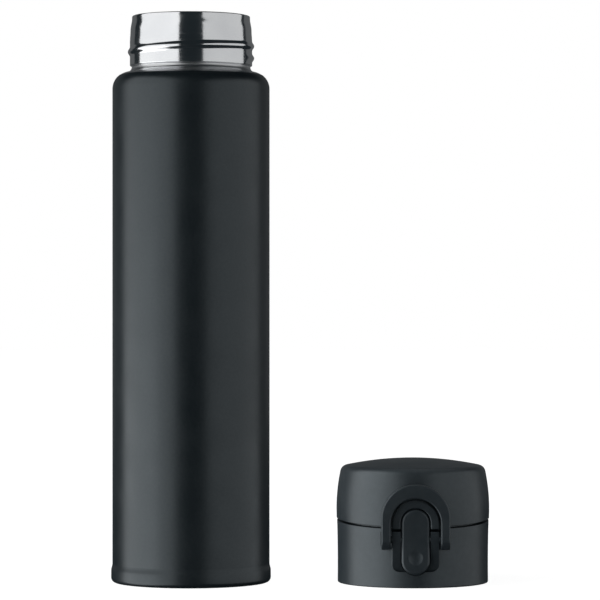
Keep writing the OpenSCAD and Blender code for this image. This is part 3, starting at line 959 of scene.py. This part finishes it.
def cover_profile(inset_by):
    """Side, rounded edge and dome of the cover from its straight side up to the axis."""
    outer_r = 3.2
    edge_r = outer_r - inset_by
    edge_z = 45.3
    lean = atan(2 * side_curve * (edge_z - 30))
    arc_x = barrel(edge_z + outer_r * sin(lean)) - outer_r * cos(lean)
    outline = [Vector((barrel(z) - inset_by, z)) for z in range(cover_side_z, 45, 2)]
    outline += arc(arc_x, edge_z, edge_r, degrees(lean), 79, 14)
    end = outline[-1]
    apex = lid_top - inset_by
    rings = 16
    for i in range(rings - 1, -1, -1):
        share = i / rings
        outline.append(Vector((end.x * share, apex - (apex - end.y) * share**2)))
    return outline


def cover_knuckle(x0, x1):
    """Knuckle of the rear hinge on the cover, blended into its back wall."""
    inner = 1.8 - lid_r
    top = hinge_z + 8
    corners = [(inner, hinge_z - 0.2, 0), *hinge_head(-4, -215)]
    corners += [(0.3 - lid_r, top, 1.2), (inner, top, 0)]
    return slab("knuckle", rounded(corners), x0, x1, 0.35, on_side)


def flip_cover(plastic):
    """Domed cover with the raised arch round the button and the hinge knuckles."""
    wall = 2.2
    outside = cover_profile(0)
    inside = cover_profile(wall)[::-1]
    rim_r = 0.18
    rows = 7

    def profile(angle):
        rim = split_at(lid_r * sin(angle), 1)
        lower = [(barrel(rim) - wall, rim, rim_r), (barrel(rim), rim, rim_r)]
        bottom = rounded([(25, 60, 0), *lower, (40, 60, 0)], 4)[1:-1]
        side = []
        for i in range(1, rows):
            z = rim + rim_r + (cover_side_z - rim - rim_r) * i / rows
            side.append(Vector((barrel(z), z)))
        mirror = [Vector((p.x - wall, p.y)) for p in reversed(side)]
        for p in bottom:
            p.x += barrel(p.y) - barrel(rim) if abs(p.x - barrel(rim)) < rim_r else 0
        return bottom + side + outside + inside + mirror

    cover = lathe("flip_cover", profile, lid_x)
    hidden = 0.3
    opening = arch(opening_half_w + hidden, 10, opening_top + hidden)
    cut = slab("opening", opening, cover_pocket_depth, past_wall, 0.0, on_front)
    combine(cover, [cut], "DIFFERENCE")
    bottom = split_at(-arch_front, 1) - latch_drop
    inner = (opening_half_w, opening_top)
    outer = (arch_half_w, arch_top)
    raised = u_bar("arch", inner, outer, bottom, lid_r - 2.1, lambda z: arch_front, 0.5, split_slope)
    knuckles = [cover_knuckle(-knuckle_x, -3.2), cover_knuckle(3.2, knuckle_x)]
    combine(cover, [raised, *knuckles], "UNION")
    slot = rounded([(-3, 15, 0), (3, 15, 0), (3, 30.2, 0.6), (-3, 30.2, 0.6)])
    combine(cover, [slab("latch slot", slot, 20, 32, 0.0, on_front), hinge_hole()], "DIFFERENCE")
    finish_piece(cover, "cover", "cover_shell", "lid_plastic", plastic, flatten=True)


def inner_cap(plastic):
    """Inner cap under the dome, with a ring round the spout gasket and a central boss."""
    low, high = cad("cover_liner")
    plate_z = 42.6
    plate_r = high.x - lid_x
    ring_r = 20.6
    corners = [(0, plate_z, 0), (ring_r, plate_z, 0.1), (ring_r, low.z, 0.2), (ring_r + 1.6, low.z, 0.3)]
    corners += [(ring_r + 1.6, plate_z, 0.4), (plate_r, plate_z, 0.4), (plate_r, plate_z + 2, 0.3)]
    corners += [(5, plate_z + 2, 0.4), (5, high.z, 0.3), (0, high.z, 0)]
    piece = lathe("inner_cap", rounded(corners, 4), lid_x)
    finish_piece(piece, "cover", "cover_liner", "liner_plastic", plastic)


def cap_gasket(rubber):
    """Silicone disc that shuts the spout, with a raised middle and a soft edge."""
    low, high = cad("spout_gasket")
    disc_r = high.x - lid_x
    corners = [(0, low.z + 1.1, 0), (16.6, low.z + 1.1, 0.8), (17.2, low.z, 0.4), (disc_r, low.z, 0.4)]
    corners += [(disc_r, high.z, 0.3), (0, high.z, 0)]
    piece = lathe("cap_gasket", rounded(corners, 5), lid_x)
    finish_piece(piece, "cover", "spout_gasket", "silicone", rubber)


def push_button(plastic):
    """Oval rocker with softly rounded edges and a thumb dimple."""
    half_w = (button_high.x - button_low.x) / 2
    front = -button_low.y
    back = lid_r - 0.9
    edge_r = 1.0
    crown = 0.12
    dimple_r = 3
    dimple_depth = 0.55
    outline = anticlockwise(oval(half_w, button_low.z, button_high.z, 44, 0.4))

    def face_depth(p, distance):
        """Depth of the front at a point that lies distance inside the outline."""
        lift = sqrt(max(edge_r**2 - max(edge_r - distance, 0) ** 2, 0)) - edge_r
        bulge = crown * (1 - max(distance - edge_r, 0) / (half_w - edge_r)) ** 2
        away = sqrt(p.x**2 + (p.y - dimple_z) ** 2) / dimple_r
        hollow = dimple_depth * max(1 - away**2, 0)
        return front + lift - bulge - hollow

    loops = []
    for distance, depth in ((1.6, back), (0.3, back), (0.0, back + 0.3)):
        loops.append([on_front(p.x, p.y, depth) for p in inset(outline, distance)])
    distances = [edge_r * (1 - cos(radians(15 * i))) for i in range(7)]
    distances += [edge_r + (half_w - edge_r - 0.03) * i / 18 for i in range(1, 19)]
    for distance in distances:
        loops.append([on_front(p.x, p.y, face_depth(p, distance)) for p in inset(outline, distance)])
    button = skin("push_button_cap", loops)
    boss = bar_x("boss", 0.1 - opening_half_w, opening_half_w - 0.1, pivot_depth, pivot_z, 1.4, 0.1)
    tooth = rounded([(-2.5, 28, 0.3), (2.5, 28, 0.3), (2.5, 29.6, 0.3), (-2.5, 29.6, 0.3)])
    combine(button, [boss, slab("tooth", tooth, back - 1.5, back + 0.5, 0.2, on_front)], "UNION")
    seat = slab("seat", arc(0, dimple_z, spring_seat_r, 0, 350, 35), 20, back + 1.2, 0, on_front)
    hole = bar_x("hole", -past_side, past_side, pivot_depth, pivot_z, pivot_pin_r + pin_play, 0)
    combine(button, [seat, hole], "DIFFERENCE")
    finish_piece(button, "button", "push_button", "lid_plastic", plastic, flatten=True)


def safety_ring(plastic):
    """U-shaped ring whose legs turn on the pivot pin and whose crown lies in front of the arch."""
    half_w = (ring_high.x - ring_low.x) / 2
    front = -ring_low.y
    back = -ring_high.y
    reach = front - pivot_depth + 0.05
    inner_w = arch_half_w + 0.45
    outer = (half_w, ring_high.z + 0.4)

    def ring_front(z):
        below = max(pivot_z - z, 0)
        return min(front, pivot_depth + sqrt(reach**2 - below**2))

    bottom = pivot_z - reach + 0.05
    ring = u_bar("safety_ring", (inner_w, 36.5), outer, bottom, back, ring_front, 0.6)
    relief = straight((-inner_w, 20), (inner_w, 20), (inner_w, 50), (-inner_w, 50))
    cuts = [slab("arch clearance", relief, 20, arch_front + 0.35, 0.0, on_front)]
    hole_x = half_w - 0.9
    cuts.append(bar_x("pivot hole", -hole_x, hole_x, pivot_depth, pivot_z, pivot_pin_r + pin_play, 0))
    combine(ring, cuts, "DIFFERENCE")
    finish_piece(ring, "ring", "lock_ring", "lid_plastic", plastic, flatten=True)


def pins(steel):
    """Hinge pin and pivot pin, with rounded ends."""
    hinge = bar_x("hinge_pin_rod", -hinge_half_w, hinge_half_w, hinge_depth, hinge_z, hinge_pin_r, 0.25)
    finish_piece(hinge, "lid", "hinge_pin", "steel", steel)
    half_l = (pivot_high.x - pivot_low.x) / 2
    pivot = bar_x("pivot_pin_rod", -half_l, half_l, pivot_depth, pivot_z, pivot_pin_r, 0.2)
    finish_piece(pivot, "lid", "pivot_pin", "steel", steel)


def hinge_spring(steel):
    """Torsion spring round the hinge pin."""
    coil_r = 1.85
    half_w = 2.4
    wire_r = 0.3
    leg = 7
    turns = 5
    steps = 28
    centre = Vector((lid_x, -hinge_depth, hinge_z))
    path = [centre + Vector((-half_w, -coil_r, -leg))]
    for i in range(turns * steps + 1):
        a = pi + 2 * pi * i / steps
        x = half_w * (2 * i / (turns * steps) - 1)
        path.append(centre + Vector((x, coil_r * cos(a), coil_r * sin(a))))
    path.append(centre + Vector((half_w, -coil_r, leg)))
    spring = wire("torsion_spring", path, wire_r)
    reach = Vector((half_w - wire_r, 0, 0))
    ends = ((centre - reach) * MM, (centre + reach) * MM)
    finish_piece(spring, "lid", "hinge_spring", "spring_steel", steel, twists_to=("cover", *ends))


def button_spring(steel):
    """Coil spring behind the button."""
    steps = 28
    low, high = cad("button_spring")
    wire_r = 0.22
    coil_r = (high.x - low.x) / 2 - wire_r
    turns = 4
    path = []
    for i in range(turns * steps + 1):
        a = 2 * pi * i / steps
        y = high.y - wire_r + (low.y - high.y + 2 * wire_r) * i / (turns * steps)
        path.append(Vector((lid_x + coil_r * cos(a), y, dimple_z + coil_r * sin(a))))
    spring = wire("coil_spring", path, wire_r)
    finish_piece(spring, "lid", "button_spring", "spring_steel", steel)
    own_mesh(spring)


# ---------------- stage, light and camera


def stage_material():
    """White paper that the camera sees as bright as the background."""
    paper = Nodes("stage_paper", (0.3, 0.3, 0.3), 0.9)
    paper.mottle(20, 2, (0.29, 0.29, 0.29), (0.31, 0.31, 0.31))
    paper.shader.inputs["Specular IOR Level"].default_value = 0.0
    paper.shader.inputs["Emission Color"].default_value = (1, 1, 1, 1)
    camera_ray = paper.tree.nodes.new("ShaderNodeLightPath").outputs["Is Camera Ray"]
    glow = paper.spread(paper.reach(), 0.9, 1.0, (0.12, 0.4))
    paper.link(paper.product(glow, camera_ray), paper.shader.inputs["Emission Strength"])
    return paper.material


def floor():
    """Plain pale floor under the flask, which the softboxes shine through in reflections."""
    half = 6.0
    mesh = bpy.data.meshes.new("floor")
    corners = [(-half, -half, 0), (half, -half, 0), (half, half, 0), (-half, half, 0)]
    mesh.from_pydata(corners, [], [(0, 1, 2, 3)])
    mesh.materials.append(stage_material())
    made = bpy.data.objects.new("floor", mesh)
    bpy.context.scene.collection.objects.link(made)
    made.visible_glossy = False
    return made


def softbox(name, azimuth, width, heights, radiance, lit=None, distance=1.0):
    """Large soft light between two heights; azimuth is its angle from the front, to the right when positive.

    lit holds two collections: what it lights, and what casts shadows in its light.
    """
    middle_x = 0.045
    low, high = heights
    light = bpy.data.lights.new(name, "AREA")
    light.shape = "RECTANGLE"
    light.size = width
    light.size_y = high - low
    light.energy = radiance * pi * light.size * light.size_y
    made = bpy.data.objects.new(name, light)
    turn = radians(azimuth)
    made.location = (middle_x + sin(turn) * distance, -cos(turn) * distance, (low + high) / 2)
    made.rotation_euler = (pi / 2, 0, turn)
    made.visible_camera = False
    bpy.context.scene.collection.objects.link(made)
    if lit:
        lit_pieces, shading_pieces = lit
        made.light_linking.receiver_collection = lit_pieces
        made.light_linking.blocker_collection = shading_pieces
    return made


def pieces_of(name, bodies, extra=()):
    """Collection of the pieces that belong to the bodies, and of extra objects."""
    group = bpy.data.collections.new(name)
    for piece, body in riders:
        if body in bodies:
            group.objects.link(piece)
    for item in extra:
        group.objects.link(item)
    return group


def studio(ground):
    """Dim room, white background for the camera, and softboxes on each side with a dark gap between them.

    The bottle and the lid unit each have their own set, as if lit one by one, so neither shades the other.
    """
    world = bpy.data.worlds.new("studio")
    world.use_nodes = True
    tree = world.node_tree
    background = next(n for n in tree.nodes if n.type == "BACKGROUND")
    mix = tree.nodes.new("ShaderNodeMix")
    mix.data_type = "RGBA"
    mix.inputs["A"].default_value = (0.014, 0.019, 0.022, 1)
    mix.inputs["B"].default_value = (1, 1, 1, 1)
    path = tree.nodes.new("ShaderNodeLightPath")
    tree.links.new(path.outputs["Is Camera Ray"], mix.inputs["Factor"])
    tree.links.new(mix.outputs["Result"], background.inputs["Color"])
    bpy.context.scene.world = world
    lid_bodies = ["lid", "cover", "button", "ring"]
    for name, bodies, booster_top in (("bottle", ["bottle"], 0.15), ("lid", lid_bodies, 1.5)):
        shading = pieces_of(name + " shades", bodies)
        lit = (pieces_of(name + " lit", bodies, [ground]), shading)
        softbox("left_softbox_" + name, -65.9, 1.89, (-0.8, 1.2), 1.12, lit)
        softbox("left_booster_" + name, -79, 1.2, (-1.1, booster_top), 0.9, lit)
        softbox("right_softbox_" + name, 70.85, 2.23, (-0.35, 0.9), 0.65, lit)
    liner = [piece for piece, _ in riders if piece.name in ("liner_vessel", "liner_bottom")]
    lit = pieces_of("lit from above", lid_bodies, liner)
    shading = pieces_of("shades from above", ["bottle", *lid_bodies])
    top = softbox("top_softbox", 0, 1.6, (0.2, 1.8), 0.3, (lit, shading), 0)
    top.rotation_euler = (0, 0, 0)
    softbox("back_fill", 180, 2.4, (0, 0.8), 0.1)


def camera():
    """Level camera straight in front of the middle of bottle and lid unit."""
    made = bpy.data.objects.new("camera", bpy.data.cameras.new("camera"))
    made.location = (0.0451, -1.3, 0.1166)
    made.rotation_euler = (radians(90), 0, 0)
    made.data.lens = 188.4
    made.data.sensor_width = 36
    bpy.context.scene.collection.objects.link(made)
    bpy.context.scene.camera = made
    bpy.context.scene.view_settings.view_transform = "Standard"


def build():
    """Every piece with its material, then the stage, the lights and the camera."""
    coat = powder_coat()
    polished = polished_steel()
    satin = brushed_steel()
    plastic = lid_plastic()
    smooth_plastic = liner_plastic()
    rubber = silicone()
    drawn_wire = spring_steel()
    outer_shell(coat, polished, satin)
    liner_vessel(satin)
    liner_bottom(satin)
    foil_wrap(foil())
    shell_bottom(satin)
    glass_seal(seal_glass())
    getter_tablet(getter_metal())
    foot_band(coat)
    lid_base(plastic)
    mouthpiece(smooth_plastic)
    plug_gasket(rubber)
    flip_cover(plastic)
    inner_cap(smooth_plastic)
    cap_gasket(rubber)
    push_button(plastic)
    safety_ring(plastic)
    pins(satin)
    hinge_spring(drawn_wire)
    button_spring(drawn_wire)
    studio(floor())
    camera()


build()
